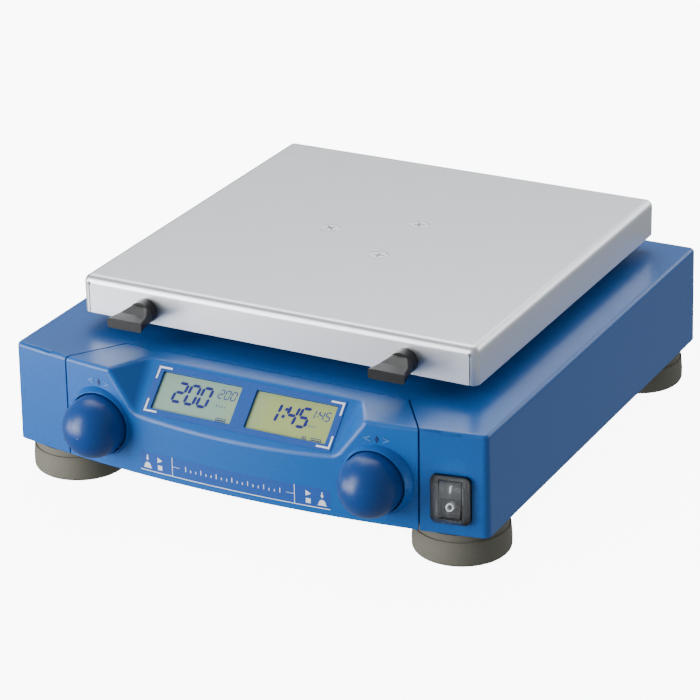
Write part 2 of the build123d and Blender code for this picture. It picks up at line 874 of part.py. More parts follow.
def make_counterweight():
    """Half ring under the flywheel's disc, opposite the crank pin."""
    low = flywheel_bottom - counterweight_height
    ring = upright(counterweight_outer, low, flywheel_bottom, 0, drive_y)
    ring -= upright(counterweight_inner, low, flywheel_bottom, 0, drive_y)
    reach = 2 * counterweight_outer
    ring &= block((-reach, drive_y - reach, low), (reach, drive_y, flywheel_bottom))
    for x, y in counterweight_screw_places():
        ring -= upright(counterweight_screw_radius + screw_clearance, low, flywheel_bottom, x, y)
    return ring


def make_counterweight_screws():
    """Countersunk screws down through the flywheel's disc."""
    head = 2 * counterweight_screw_radius
    length = flywheel_disc + counterweight_height - merge
    one = screw(counterweight_screw_radius, head, 0, length, countersunk=True)
    return [Pos(x, y, flywheel_top) * one for x, y in counterweight_screw_places()]


def belt_loop(grow):
    """Plan of the belt's path round both pulleys, grown outwards."""
    large = Pos(0, drive_y) * Circle(flywheel_radius + grow)
    small = Pos(motor_x, motor_y) * Circle(motor_pulley_radius + grow)
    return make_hull(large.edges() + small.edges())


def make_drive_belt():
    """Flat belt from the motor's pulley to the flywheel."""
    loop = belt_loop(belt_gap + belt_thickness) - belt_loop(belt_gap)
    return Pos(0, 0, belt_bottom) * extrude(loop, belt_width)


def idler_places():
    """Axis of each idler crank, by name."""
    return dict(zip(idler_angles, around(idler_circle, idler_angles.values(), drive_y)))


def idler_bearing_lows():
    """Heights of the two bearings in an idler's pedestal."""
    upper = idler_top - idler_bearing_height
    return upper - idler_bearing_gap - idler_bearing_height, upper


def make_idler_pedestal(x, y):
    """Flanged post for an idler crank's bearings."""
    post = upright(idler_flange_radius, plate_top, plate_top + idler_flange_height, x, y)
    post += upright(idler_column_radius, plate_top, idler_top, x, y)
    seat = idler_bearing_radius + seat_clearance
    return post - upright(seat, idler_bearing_lows()[0], idler_top + merge, x, y)


def make_idler_bearings():
    """Two bearings in each idler's pedestal."""
    bore = idler_journal_radius + running_clearance
    rings = []
    for x, y in idler_places().values():
        for low in idler_bearing_lows():
            rings.append(bearing(bore, idler_bearing_radius, idler_bearing_height, low, x, y))
    return rings


def make_idler_crank(x, y):
    """Small crank with the same throw as the main one."""
    web_low = idler_top + idler_web_gap
    web_high = carrier_bottom - carrier_gap
    foot = idler_bearing_lows()[0] + idler_web_gap
    crank = upright(idler_journal_radius, foot, web_low + merge, x, y)
    crank += upright(idler_web_radius, web_low, web_high, x, y)
    pin_high = carrier_bottom + idler_pin_gap + idler_bearing_height
    return crank + upright(idler_journal_radius, web_high - merge, pin_high, x, y + orbit_radius)


def make_arm_bearings():
    """Bearing at the end of each arm of the carrier."""
    bore = idler_journal_radius + running_clearance
    low = carrier_bottom + idler_pin_gap
    spots = [(x, y + orbit_radius) for x, y in idler_places().values()]
    return [bearing(bore, idler_bearing_radius, idler_bearing_height, low, x, y) for x, y in spots]


def make_pin_bearing():
    """Bearing that the crank pin turns in, at the foot of the carrier's hub."""
    bore = pin_radius + running_clearance
    low = carrier_bottom + idler_pin_gap
    return bearing(bore, pin_bearing_radius, pin_bearing_height, low, 0, tray_y)


def tray_screw_places():
    """Three screws round the middle of the tray, one of them to the left."""
    return around(tray_screw_circle, tray_screw_angles, tray_y)


def make_carrier():
    """Three-armed carrier under the tray, running on the crank pin and the idler pins."""
    carrier = upright(carrier_hub_radius, carrier_bottom, carrier_top, 0, tray_y)
    arm_top = carrier_bottom + carrier_arm_height
    for angle in idler_angles.values():
        arm = block((0, -carrier_arm_half, carrier_bottom), (idler_circle, carrier_arm_half, arm_top))
        end = upright(carrier_end_radius, carrier_bottom, arm_top, idler_circle, 0)
        carrier += Pos(0, tray_y, 0) * Rot(0, 0, angle) * (arm + end)
    for x, y in idler_places().values():
        seat = idler_bearing_radius + seat_clearance
        seat_top = carrier_bottom + 2 * idler_pin_gap + idler_bearing_height
        carrier -= upright(seat, carrier_bottom, seat_top, x, y + orbit_radius)
    seat_top = carrier_bottom + idler_pin_gap + pin_bearing_height
    floor_top = seat_top + carrier_arm_height
    carrier -= upright(pin_bearing_radius + seat_clearance, carrier_bottom, seat_top, 0, tray_y)
    carrier -= upright(carrier_shoulder_radius, carrier_bottom, floor_top, 0, tray_y)
    carrier -= upright(carrier_bore_radius, floor_top, carrier_top, 0, tray_y)
    for x, y in tray_screw_places():
        hole = countersink(tray_screw_radius, tray_screw_head_radius, tray_screw_length + merge)
        carrier -= Pos(x, y, tray_top) * hole
    return carrier


def tray_form(inset, low):
    """Rounded block of the tray's outside, or of its inside."""
    half = tray_size / 2 - inset
    form = block((-half, tray_y - half, low), (half, tray_y + half, tray_top - inset))
    edges = form.edges().filter_by(Axis.Z) + form.faces().sort_by(Axis.Z)[-1].edges()
    return fillet(edges, bend_radius - inset)


def corner_joint(across, along):
    """Slit and relief hole where a front or rear flange ends, as a cutting tool."""
    x = across * (tray_size / 2 - bend_radius)
    y = tray_y + along * (tray_size / 2 - sheet / 2)
    low = tray_bottom - sheet
    high = tray_top - bend_radius
    half_deep = sheet / 2 + tab_clearance
    slit = block((x - slit_width / 2, y - half_deep, low), (x + slit_width / 2, y + half_deep, high))
    return slit + lying(relief_radius, y - half_deep, y + half_deep, x, high)


def corner_tab(across, along):
    """Tab of the side flange, turned round the corner behind the front or rear one."""
    near = tray_size / 2 - sheet - tab_clearance
    inner = tray_size / 2 - bend_radius - tab_length
    outer = tray_size / 2 - sheet / 2
    ends = sorted((across * inner, across * outer))
    depths = sorted((along * near, along * (near - sheet)))
    low = (ends[0], tray_y + depths[0], tray_bottom)
    high = (ends[1], tray_y + depths[1], tray_top - bend_radius)
    return block(low, high)


def make_tray():
    """Folded sheet tray with its corner joints, screw holes and clamp holes."""
    tray = tray_form(0, tray_bottom) - tray_form(sheet, tray_bottom - sheet)
    for across in sides.values():
        for along in (-1, 1):
            tray -= corner_joint(across, along)
            tray += corner_tab(across, along)
        hole = clamp_spigot_radius + running_clearance
        tray -= lying(hole, tray_front - sheet, tray_front + 2 * sheet, across * clamp_offset, clamp_z)
    for x, y in tray_screw_places():
        hole = countersink(tray_screw_radius, tray_screw_head_radius, tray_screw_length)
        tray -= Pos(x, y, tray_top) * hole
    return tray


def make_tray_screws():
    """Three countersunk screws that hold the tray to the carrier."""
    one = screw(tray_screw_radius, tray_screw_head_radius, 0, tray_screw_length, countersunk=True)
    return [Pos(x, y, tray_top) * one for x, y in tray_screw_places()]


def make_clamp_knob(x):
    """Wing knob: a round hub that flattens into a wide wing, with a spigot through the flange."""
    face_y = tray_front - clamp_face_gap
    hub_front = face_y - clamp_hub_length
    neck_front = hub_front - clamp_neck_length
    nose_y = tray_front - clamp_reach
    hub = lying(clamp_hub_radius, hub_front, face_y)
    neck_width = (clamp_wing_width + 2 * clamp_hub_radius) / 2
    shapes = [
        RectangleRounded(2 * clamp_hub_radius, clamp_shoulder_height, clamp_shoulder_radius),
        RectangleRounded(neck_width, clamp_wing_thickness, clamp_wing_edge_radius),
        RectangleRounded(clamp_wing_width, clamp_wing_thickness, clamp_wing_edge_radius),
    ]
    places = [hub_front + merge, neck_front, nose_y]
    sections = [Pos(0, y, 0) * Rot(90, 0, 0) * shape for y, shape in zip(places, shapes)]
    knob = hub + loft(sections[:2], ruled=True) + loft(sections[1:], ruled=True)
    knob += lying(clamp_spigot_radius, face_y - merge, face_y + clamp_spigot_length)
    return Pos(x, 0, clamp_z) * knob


def make_clamp_cam(x):
    """Steel cam on the spigot behind the flange, pointing up when clamped."""
    start = tray_front + sheet + clamp_face_gap
    round_end = clamp_cam_width / 2
    heel = Circle(clamp_spigot_radius + clamp_cam_wall)
    toe = Pos(0, clamp_cam_length - round_end) * Circle(round_end)
    plan = make_hull(heel.edges() + toe.edges()) - Circle(clamp_spigot_radius + seat_clearance)
    cam = extrude(plan, clamp_cam_thickness)
    return Pos(x, start + clamp_cam_thickness, clamp_z) * Rot(90, 0, 0) * cam


def make_motor():
    """Motor can on its bracket, shaft downwards."""
    can = upright(motor_radius, motor_bottom, motor_bottom + motor_height)
    can = fillet(can.edges().filter_by(GeomType.CIRCLE), motor_edge_radius)
    can += upright(motor_boss_radius, motor_bottom - motor_boss_height, motor_bottom + merge)
    bore = motor_shaft_radius + running_clearance
    can -= upright(bore, motor_bottom - wall, motor_bottom + motor_bore_depth)
    return Pos(motor_x, motor_y, 0) * can


def make_motor_bracket():
    """Round plate on three posts that holds the motor above its belt."""
    plate = upright(motor_bracket_radius, bracket_bottom, motor_bottom)
    angles = [motor_angle + turn for turn in motor_post_turns]
    for x, y in around(motor_post_circle, angles):
        plate += upright(motor_post_radius, plate_top, bracket_bottom + merge, x, y)
    plate -= upright(motor_boss_radius + seat_clearance, bracket_bottom - merge, motor_bottom)
    return Pos(motor_x, motor_y, 0) * plate


def make_motor_shaft():
    """Motor shaft from the pulley up into the can."""
    low = belt_bottom - belt_rise
    return upright(motor_shaft_radius, low, motor_bottom + motor_height / 2, motor_x, motor_y)


def make_motor_pulley():
    """Flanged pulley pressed on the motor shaft."""
    lip = motor_pulley_radius + pulley_flange
    low = belt_bottom - belt_rise
    high = belt_bottom + belt_width + belt_rise - belt_side_gap
    track_low = belt_bottom - belt_side_gap
    track_high = belt_bottom + belt_width + belt_side_gap
    bore = motor_shaft_radius + seat_clearance
    points = [
        (bore, low), (lip, low), (lip, track_low), (motor_pulley_radius, track_low),
        (motor_pulley_radius, track_high), (lip, track_high), (lip, high), (bore, high),
    ]
    return Pos(motor_x, motor_y, 0) * stood(points)


def make_supply_standoffs():
    """Four posts that carry the supply board."""
    half_width = supply_width / 2 - supply_standoff
    half_depth = supply_depth / 2 - supply_standoff
    posts = []
    for across in (-1, 1):
        for along in (-1, 1):
            x = supply_x + across * half_width
            y = supply_y + along * half_depth
            posts.append(upright(supply_standoff_radius, plate_top, plate_top + supply_standoff, x, y))
    return posts


def make_supply_board():
    """Power supply board."""
    low = plate_top + supply_standoff
    half_width = supply_width / 2
    half_depth = supply_depth / 2
    return block(
        (supply_x - half_width, supply_y - half_depth, low),
        (supply_x + half_width, supply_y + half_depth, low + board_thickness),
    )


def make_transformer():
    """Laminated core with the coil's bobbin through it."""
    low = plate_top + supply_standoff + board_thickness
    core = Pos(supply_x, supply_y, low + core_height / 2) * Box(core_width, core_depth, core_height)
    coil = Pos(supply_x, supply_y, low + core_height / 2) * Box(coil_width, coil_depth, coil_height)
    coil = fillet(coil.edges().filter_by(Axis.Z), coil_corner_radius)
    return core + coil


def make_mains_inlet():
    """Appliance inlet with a shrouded recess whose upper corners are cut off."""
    half = inlet_width / 2
    tall = inlet_flange_height / 2
    outer_y = rear_y + inlet_stand
    body = block((-half, inlet_face_y, -tall), (half, outer_y, tall))
    body = fillet(body.edges().filter_by(Axis.Y), inlet_corner_radius)
    body_half = inlet_body_width / 2
    body_tall = inlet_body_height / 2
    inner_y = rear_y - inlet_body_depth
    body += block((-body_half, inner_y, -body_tall), (body_half, inlet_face_y + merge, body_tall))
    recess = Rectangle(inlet_recess_width, inlet_recess_height)
    upper = recess.vertices().sort_by(Axis.Y)[-2:]
    recess = chamfer(upper, inlet_recess_chamfer)
    body -= Pos(0, outer_y, 0) * Rot(90, 0, 0) * extrude(recess, inlet_recess_depth)
    return Pos(inlet_offset, 0, inlet_height) * body


def make_inlet_pins():
    """Three contact pins standing on the floor of the inlet's recess."""
    floor_y = rear_y + inlet_stand - inlet_recess_depth
    pins = []
    lower = [(side * inlet_pin_spread, -inlet_pin_rise) for side in sides.values()]
    for x, z in lower + [(0, inlet_pin_rise)]:
        pin = Box(inlet_pin_width, inlet_pin_length, inlet_pin_height)
        pins.append(Pos(inlet_offset + x, floor_y + inlet_pin_length / 2, inlet_height + z) * pin)
    return pins


def make_fuse_holders():
    """Two panel fuse holders with round caps, one above the other."""
    holders = []
    for z in fuse_heights:
        lowest = z - fuse_cap_radius
        face = rear_y - side_draft * (lowest - foot_lift) / housing_height
        cap = lying(fuse_cap_radius, face, face + fuse_cap_height, fuse_offset, z)
        cap = fillet(cap.edges().filter_by(GeomType.CIRCLE).sort_by(Axis.Y)[-1], fuse_edge_radius)
        body = lying(fuse_body_radius, face - fuse_body_length, face + merge, fuse_offset, z)
        holders.append(cap + body)
    return holders


def make_serial_socket():
    """Nine-way socket in the back wall, held from inside."""
    inner_y = rear_y - side_draft - wall
    half = socket_width / 2
    tall = socket_height / 2
    plate = block((-half, inner_y - socket_plate, -tall), (half, inner_y, tall))
    shell = Rectangle(socket_shell_width, socket_shell_height)
    shell = fillet(shell.vertices(), socket_corner_radius)
    reach = socket_shell_reach + wall + side_draft
    plate += Pos(0, inner_y + reach, 0) * Rot(90, 0, 0) * extrude(shell, reach + socket_depth)
    return Pos(socket_offset, 0, inlet_height) * plate


def write(name, part):
    """Write one sub-part to its own file; a list of pieces shares one file."""
    if isinstance(part, list):
        part = Compound(children=part)
    part.label = name
    export_step(part, f"parts/{name}.step")


def main():
    """Build every sub-part of the shaker."""
    os.makedirs("parts", exist_ok=True)
    write("housing", make_housing())
    write("front_panel", make_front_panel())
    write("display_label", make_display_label())
    write("display_board", make_display_board())
    write("control_board", make_control_board())
    for side, sign in sides.items():
        write(f"lcd_{side}", make_lcd(sign))
        write(f"knob_{side}", make_knob(sign * knob_offset))
        write(f"knob_shaft_{side}", make_knob_shaft(sign * knob_offset))
        write(f"plunger_{side}", make_plunger(sign * knob_offset))
        write(f"encoder_{side}", make_encoder(sign * knob_offset))
        write(f"clamp_knob_{side}", make_clamp_knob(sign * clamp_offset))
        write(f"clamp_cam_{side}", make_clamp_cam(sign * clamp_offset))
    write("switch_body", make_switch_body())
    write("switch_rocker", make_rocker())
    write("switch_cover", make_switch_cover())
    write("base_plate", make_base_plate())
    for corner, (x, y) in foot_places().items():
        write(f"foot_{corner}", make_foot(x, y))
    write("foot_screws", make_foot_screws())
    write("housing_screws", make_housing_screws())
    write("bearing_block", make_bearing_block())
    write("block_screws", make_block_screws())
    write("main_bearings", make_main_bearings())
    write("crankshaft", make_crankshaft())
    write("flywheel", make_flywheel())
    write("counterweight", make_counterweight())
    write("counterweight_screws", make_counterweight_screws())
    for place, (x, y) in idler_places().items():
        write(f"idler_pedestal_{place}", make_idler_pedestal(x, y))
        write(f"idler_crank_{place}", make_idler_crank(x, y))
    write("idler_bearings", make_idler_bearings())
    write("arm_bearings", make_arm_bearings())
    write("pin_bearing", make_pin_bearing())
    write("carrier", make_carrier())
    write("tray", make_tray())
    write("tray_screws", make_tray_screws())
    write("motor", make_motor())
    write("motor_bracket", make_motor_bracket())
    write("motor_shaft", make_motor_shaft())
    write("motor_pulley", make_motor_pulley())
    write("drive_belt", make_drive_belt())
    write("supply_standoffs", make_supply_standoffs())
    write("supply_board", make_supply_board())
    write("transformer", make_transformer())
    write("mains_inlet", make_mains_inlet())
    write("inlet_pins", make_inlet_pins())
    write("fuse_holders", make_fuse_holders())
    write("serial_socket", make_serial_socket())


main()
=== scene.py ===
import json
import math

import bmesh
import bpy
from mathutils import Matrix, Vector


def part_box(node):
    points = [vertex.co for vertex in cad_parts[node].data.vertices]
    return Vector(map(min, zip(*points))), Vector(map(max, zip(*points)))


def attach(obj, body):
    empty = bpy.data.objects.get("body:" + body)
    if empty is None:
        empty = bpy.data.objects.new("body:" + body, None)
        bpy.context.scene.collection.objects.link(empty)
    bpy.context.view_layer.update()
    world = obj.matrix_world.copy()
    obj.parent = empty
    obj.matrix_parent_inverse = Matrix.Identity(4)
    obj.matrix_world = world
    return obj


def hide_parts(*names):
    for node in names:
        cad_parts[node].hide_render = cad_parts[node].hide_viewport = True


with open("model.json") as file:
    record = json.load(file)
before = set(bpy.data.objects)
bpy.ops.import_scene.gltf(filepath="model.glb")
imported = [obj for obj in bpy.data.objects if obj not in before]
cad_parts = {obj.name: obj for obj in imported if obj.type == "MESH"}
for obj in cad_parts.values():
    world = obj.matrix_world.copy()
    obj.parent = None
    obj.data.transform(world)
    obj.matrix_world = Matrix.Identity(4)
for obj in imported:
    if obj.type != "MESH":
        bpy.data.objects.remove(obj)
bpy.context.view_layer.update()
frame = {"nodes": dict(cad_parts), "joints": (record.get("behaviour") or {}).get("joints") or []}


# Housing. A die-cast aluminium shell, open below, with a bowed front and drafted walls.
# It is sprayed with a blue lacquer and held down on the base plate by screws from below.

nodes = frame["nodes"]
mm = 0.001


def linear(code):
    """Linear colour from an sRGB hex code, by the sRGB curve's own constants."""
    channels = [int(code[start:start + 2], 16) / 255 for start in (1, 3, 5)]
    return [c / 12.92 if c <= 0.04045 else ((c + 0.055) / 1.055) ** 2.4 for c in channels] + [1.0]


def finish(name, code, **values):
    """New material whose constant values sit on the shader's own sockets."""
    material = bpy.data.materials.new(name)
    material.use_nodes = True
    shader = material.node_tree.nodes["Principled BSDF"]
    shader.inputs["Base Color"].default_value = linear(code)
    for socket, value in values.items():
        shader.inputs[socket.replace("_", " ")].default_value = value
    return material, shader


def add(shader, kind, settings=None, links=None):
    """Add a node beside a shader, with its settings and its links."""
    tree = shader.id_data
    node = tree.nodes.new(kind)
    for socket, value in (settings or {}).items():
        node.inputs[socket].default_value = value
    for socket, source in (links or {}).items():
        tree.links.new(source, node.inputs[socket])
    return node


def feed(shader, socket, source):
    """Link an output to one of the shader's sockets."""
    shader.id_data.links.new(source, shader.inputs[socket])


def grain(shader, size, height, stretch=(1, 1, 1), detail=2.0):
    """Fine relief of one grain size, pressed into the surface, and the noise that makes it.

    A real grain that is finer than the render can show is drawn coarser, at 0.25 to 0.7 mm.
    """
    place = add(shader, "ShaderNodeTexCoord").outputs["Object"]
    spread = add(shader, "ShaderNodeMapping", {"Scale": stretch}, {"Vector": place})
    pattern = {"Scale": 1 / size, "Detail": detail}
    noise = add(shader, "ShaderNodeTexNoise", pattern, {"Vector": spread.outputs[0]})
    relief = {"Distance": height, "Strength": 1.0}
    bump = add(shader, "ShaderNodeBump", relief, {"Height": noise.outputs[0]})
    feed(shader, "Normal", bump.outputs[0])
    return noise.outputs[0]


def tones(shader, mask, dark, light, socket="Base Color"):
    """Let a mask, over its usual span, move a socket between two hex colours or two numbers."""
    span = (0.35, 0.65)
    ramp = add(shader, "ShaderNodeValToRGB", links={"Fac": mask})
    for stop, place, value in zip(ramp.color_ramp.elements, span, (dark, light)):
        stop.position = place
        stop.color = linear(value) if isinstance(value, str) else (value, value, value, 1)
    feed(shader, socket, ramp.outputs[0])


def coat(material, *names):
    """Give CAD nodes a material."""
    for name in names:
        nodes[name].data.materials.clear()
        nodes[name].data.materials.append(material)


# Sprayed lacquer on cast metal: an even satin gloss with a faint orange peel about 1 mm across.
lacquer, shader = finish(
    "sprayed_blue_lacquer", "#0058a8", Roughness=0.40, IOR=1.45, Coat_Weight=0.25, Coat_Roughness=0.16
)
tones(shader, grain(shader, 1.1 * mm, 0.006 * mm), "#0055a3", "#005bad")
coat(lacquer, "housing")


# Front panel. One moulded shell with the display recess and both knob wells in it.
# It closes the front of the housing, with a dark seam along its top and down both ends.

# Moulded plastic in the housing's colour: satin, with a spark-eroded texture drawn coarse enough to show.
moulding, shader = finish(
    "moulded_blue_plastic", "#005cae", Roughness=0.42, IOR=1.45, Coat_Weight=0.15, Coat_Roughness=0.24
)
tones(shader, grain(shader, 0.5 * mm, 0.005 * mm), "#0059a9", "#005fb3")
coat(moulding, "front_panel")


# Display label. A printed film stuck to the sloping floor of the recess, cut out over both displays.
# Four white corner angles frame the pair.

def formed(name, mesh):
    """Object made from a bmesh."""
    data = bpy.data.meshes.new(name)
    bmesh.ops.recalc_face_normals(mesh, faces=mesh.faces)
    mesh.to_mesh(data)
    mesh.free()
    made = bpy.data.objects.new(name, data)
    bpy.context.scene.collection.objects.link(made)
    return made


def piece(name, mesh, material, body):
    """Make a piece from a bmesh, with its finish and the body that it rides on."""
    made = formed(name, mesh)
    made.data.materials.append(material)
    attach(made, body)


def walls(mesh, near, far):
    """Join two closed rows of corners with four-sided faces."""
    for i in range(len(near)):
        j = (i + 1) % len(near)
        mesh.faces.new((near[i], near[j], far[j], far[i]))


def prisms(outlines, surface, depth, lift=0.0):
    """Closed thin plates: each outline drawn on a surface and given a depth."""
    mesh = bmesh.new()
    for outline in outlines:
        low = [mesh.verts.new(surface(u, v, lift)) for u, v in outline]
        high = [mesh.verts.new(surface(u, v, lift + depth)) for u, v in outline]
        mesh.faces.new(low[::-1])
        mesh.faces.new(high)
        walls(mesh, low, high)
    return mesh


# The film's thickness and the slope of the recess's floor, as in the CAD, and an ink layer's thickness.
label_thickness = 0.4 * mm
display_tilt = math.radians(43.8)
ink = 0.05 * mm
label_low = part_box("display_label")[0]


def on_label(u, v, lift):
    """Point on the label's face: across, up the slope from its lower edge, and off it."""
    y = label_low.y + v * math.cos(display_tilt) - lift * math.sin(display_tilt)
    z = label_low.z + label_thickness * math.cos(display_tilt)
    return u, y, z + v * math.sin(display_tilt) + lift * math.cos(display_tilt)


# Printed polyester film: smooth, a little greyer and more violet than the housing.
film, shader = finish("printed_film", "#2455a6", Roughness=0.34, IOR=1.5)
tones(shader, grain(shader, 0.7 * mm, 0.004 * mm), "#2152a2", "#2758aa")
coat(film, "display_label")

# Opaque screen-printed ink: flat white, very slightly raised.
white_ink, shader = finish("white_screen_ink", "#f2f4f6", Roughness=0.55)
tones(shader, grain(shader, 0.25 * mm, 0.004 * mm), "#eceff2", "#f6f8fa")

# The arms and line of each angle, then the middle and half sizes of the frame that they make.
angle_across = 7.5 * mm
angle_up = 6.9 * mm
angle_line = 1.0 * mm
angle_centre = 13.6 * mm
angle_half = 53.0 * mm
angle_rise = 12.5 * mm
angles = []
for across in (-1, 1):
    for up in (-1, 1):
        corner = Vector((across * angle_half, angle_centre + up * angle_rise))
        steps = [(0, 0), (angle_across, 0), (angle_across, angle_line), (angle_line, angle_line)]
        steps += [(angle_line, angle_up), (0, angle_up)]
        angles.append([(corner.x - across * u, corner.y - up * v) for u, v in steps])
piece("display_corner_angles", prisms(angles, on_label, ink), white_ink, "base")


# Displays. Two liquid crystal modules behind the windows, each a glass with its frame behind.
# The readings are dark segments on the glass, so they lie below the label's face.

# Grey-green polariser under glass: smooth, with a soft shine, greener at the left, yellower at the right.
glass, shader = finish(
    "liquid_crystal_glass", "#a9bb9c", Roughness=0.22, IOR=1.5, Coat_Weight=0.5, Coat_Roughness=0.05
)
display_half = 50 * mm
place = add(shader, "ShaderNodeTexCoord").outputs["Object"]
across = add(shader, "ShaderNodeSeparateXYZ", links={"Vector": place}).outputs["X"]
displays = {"From Min": -display_half, "From Max": display_half}
fade = add(shader, "ShaderNodeMapRange", displays, {"Value": across})
tones(shader, fade.outputs[0], "#93b3a0", "#a9b874")
coat(glass, "lcd_left", "lcd_right")

# Each segment's two ends, in digit widths and half heights, and the segments that each digit lights.
segment_ends = {
    "a": ((0, 2), (1, 2)), "b": ((1, 2), (1, 1)), "c": ((1, 1), (1, 0)), "d": ((0, 0), (1, 0)),
    "e": ((0, 1), (0, 0)), "f": ((0, 2), (0, 1)), "g": ((0, 1), (1, 1)),
}
digit_segments = {"0": "abcdef", "1": "bc", "2": "abged", "4": "fgbc", "5": "afgcd"}


def bar(start, end, line, gap=0.0):
    """Pointed bar between two points."""
    run = end - start
    along = run.normalized()
    side = Vector((-along.y, along.x)) * line / 2
    tips = start + along * gap, end - along * gap
    shoulders = tips[0] + along * line / 2, tips[1] - along * line / 2
    one_side = [tips[0], shoulders[0] - side, shoulders[1] - side]
    return one_side + [tips[1], shoulders[1] + side, shoulders[0] + side]


def rectangle(left, low, width, height):
    """Outline of a rectangle, from its lower left corner."""
    return [(left, low), (left + width, low), (left + width, low + height), (left, low + height)]


def reading(text, left, low, width, height, pitch, line):
    """Outlines of leaning seven-segment digits, with a colon where the text has one."""
    lean = 0.14
    dot_levels = (0.28, 0.68)
    dot_indent = 0.35 * line
    colon_pitch = 1.9 * line
    segment_gap = 0.12 * line
    outlines = []
    for sign in text:
        if sign == ":":
            for level in dot_levels:
                outlines.append(rectangle(left + dot_indent, low + level * height, line, line))
            left += colon_pitch
            continue
        for name in digit_segments[sign]:
            ends = [Vector((left + x * width, low + y * height / 2)) for x, y in segment_ends[name]]
            outlines.append(bar(*ends, line, segment_gap))
        left += pitch
    return [[(u + lean * (v - low), v) for u, v in outline] for outline in outlines]


def box_mark(left, low, width):
    """Small frame, as four bars, with a thicker one in its middle."""
    height = 2.2 * mm
    line = 0.35 * mm
    thick_line = 1.6 * line
    inside = height - 2 * line
    marks = [rectangle(left, low, width, line), rectangle(left, low + height - line, width, line)]
    marks.append(rectangle(left, low + line, line, inside))
    marks.append(rectangle(left + width - line, low + line, line, inside))
    marks.append(rectangle(left + 2 * line, low + height / 2 - line, width - 4 * line, thick_line))
    return marks


# How far the segments lie below the label's face, which is at the glass.
glass_depth = 1.3 * mm

# Liquid crystal segments: dark blue-violet, with sharp edges.
segment_ink, shader = finish("display_segments", "#22257a", Roughness=0.3)
tones(shader, grain(shader, 0.4 * mm, 0.001 * mm), "#1f2275", "#26297f")
large = reading(
    "200", left=-40.6 * mm, low=9.5 * mm, width=5.0 * mm, height=10.2 * mm, pitch=7.2 * mm, line=1.6 * mm
)
large += reading(
    "1:45", left=13.6 * mm, low=9.7 * mm, width=4.8 * mm, height=9.9 * mm, pitch=6.8 * mm, line=1.6 * mm
)
large = prisms(large, on_label, ink, -glass_depth)
piece("display_readings", large, segment_ink, "base")

# The second line of digits and the short strokes are driven less, so they look paler.
pale_ink, shader = finish("pale_display_segments", "#3a428c", Roughness=0.3)
tones(shader, grain(shader, 0.4 * mm, 0.001 * mm), "#363e87", "#3f4791")
small_digit = {"width": 2.4 * mm, "height": 4.5 * mm, "pitch": 3.6 * mm, "line": 0.6 * mm}
small = reading("200", left=-16.2 * mm, low=15.9 * mm, **small_digit)
small += reading("1:45", left=36.0 * mm, low=15.3 * mm, **small_digit)
stroke_pitch = 1.6 * mm
stroke_lean = 0.3 * mm
stroke_line = 0.45 * mm
stroke_heights = (1.5 * mm, 1.1 * mm, 1.1 * mm, 1.1 * mm)
for left, low in ((-15.2 * mm, 11.0 * mm), (36.0 * mm, 10.6 * mm)):
    for step, height in enumerate(stroke_heights):
        foot = Vector((left + step * stroke_pitch, low))
        small.append(bar(foot, foot + Vector((stroke_lean, height)), stroke_line))
small = prisms(small, on_label, ink, -glass_depth)
piece("display_small_marks", small, pale_ink, "base")

boxes = box_mark(left=-13.0 * mm, low=3.4 * mm, width=5.6 * mm)
boxes += box_mark(left=41.0 * mm, low=3.2 * mm, width=5.6 * mm)
boxes += box_mark(left=36.0 * mm, low=3.2 * mm, width=2.2 * mm)
boxes = prisms(boxes, on_label, ink, -glass_depth)
piece("display_box_marks", boxes, segment_ink, "base")


# Legend strip. A printed band low on the bowed front, with a white rule under it.
# Its end fields carry a press mark with start and stop signs, and its middle a plain scale.

# The front's bow across its width and its lean over its height are the CAD's.
panel_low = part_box("front_panel")[0]
housing_low, housing_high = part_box("housing")
front_bow = 13.3 * mm
side_draft = 0.9 * mm
housing_half = housing_high.x
bow_radius = (housing_half ** 2 + front_bow ** 2) / (2 * front_bow)


def on_front(x, z, lift):
    """Point on the bowed front: across, height above the bench, and off the face."""
    rise = (z - housing_low.z) / (housing_high.z - housing_low.z)
    y = panel_low.y + bow_radius - math.sqrt(bow_radius ** 2 - x ** 2) + side_draft * rise
    turn = math.asin(x / bow_radius)
    return x + lift * math.sin(turn), y - lift * math.cos(turn), z


def ribbon(low, high, surface, depth, steps):
    """Closed rectangular plate bent along a surface."""
    mesh = bmesh.new()
    rows = []
    for step in range(steps + 1):
        u = low[0] + (high[0] - low[0]) * step / steps
        spots = ((low[1], 0), (high[1], 0), (high[1], depth), (low[1], depth))
        rows.append([mesh.verts.new(surface(u, v, lift)) for v, lift in spots])
    for near, far in zip(rows, rows[1:]):
        walls(mesh, near, far)
    mesh.faces.new(rows[0])
    mesh.faces.new(rows[-1][::-1])
    return mesh


strip_half = 54.3 * mm
strip_low = 21.9 * mm
strip_high = 32.1 * mm
strip_middle = (strip_low + strip_high) / 2
strip_steps = 24
rule_low = strip_low - 0.45 * mm

# Pad-printed band: a violet blue like the display film's, a little deeper.
band_ink, shader = finish("pad_printed_band", "#0f4fa6", Roughness=0.45)
tones(shader, grain(shader, 0.5 * mm, 0.004 * mm), "#0c4ca2", "#1252aa")
band = ribbon((-strip_half, strip_low), (strip_half, strip_high), on_front, ink, strip_steps)
piece("legend_band", band, band_ink, "base")
rule = ribbon((-strip_half, rule_low), (strip_half, strip_low), on_front, ink, strip_steps)
piece("legend_rule", rule, white_ink, "base")

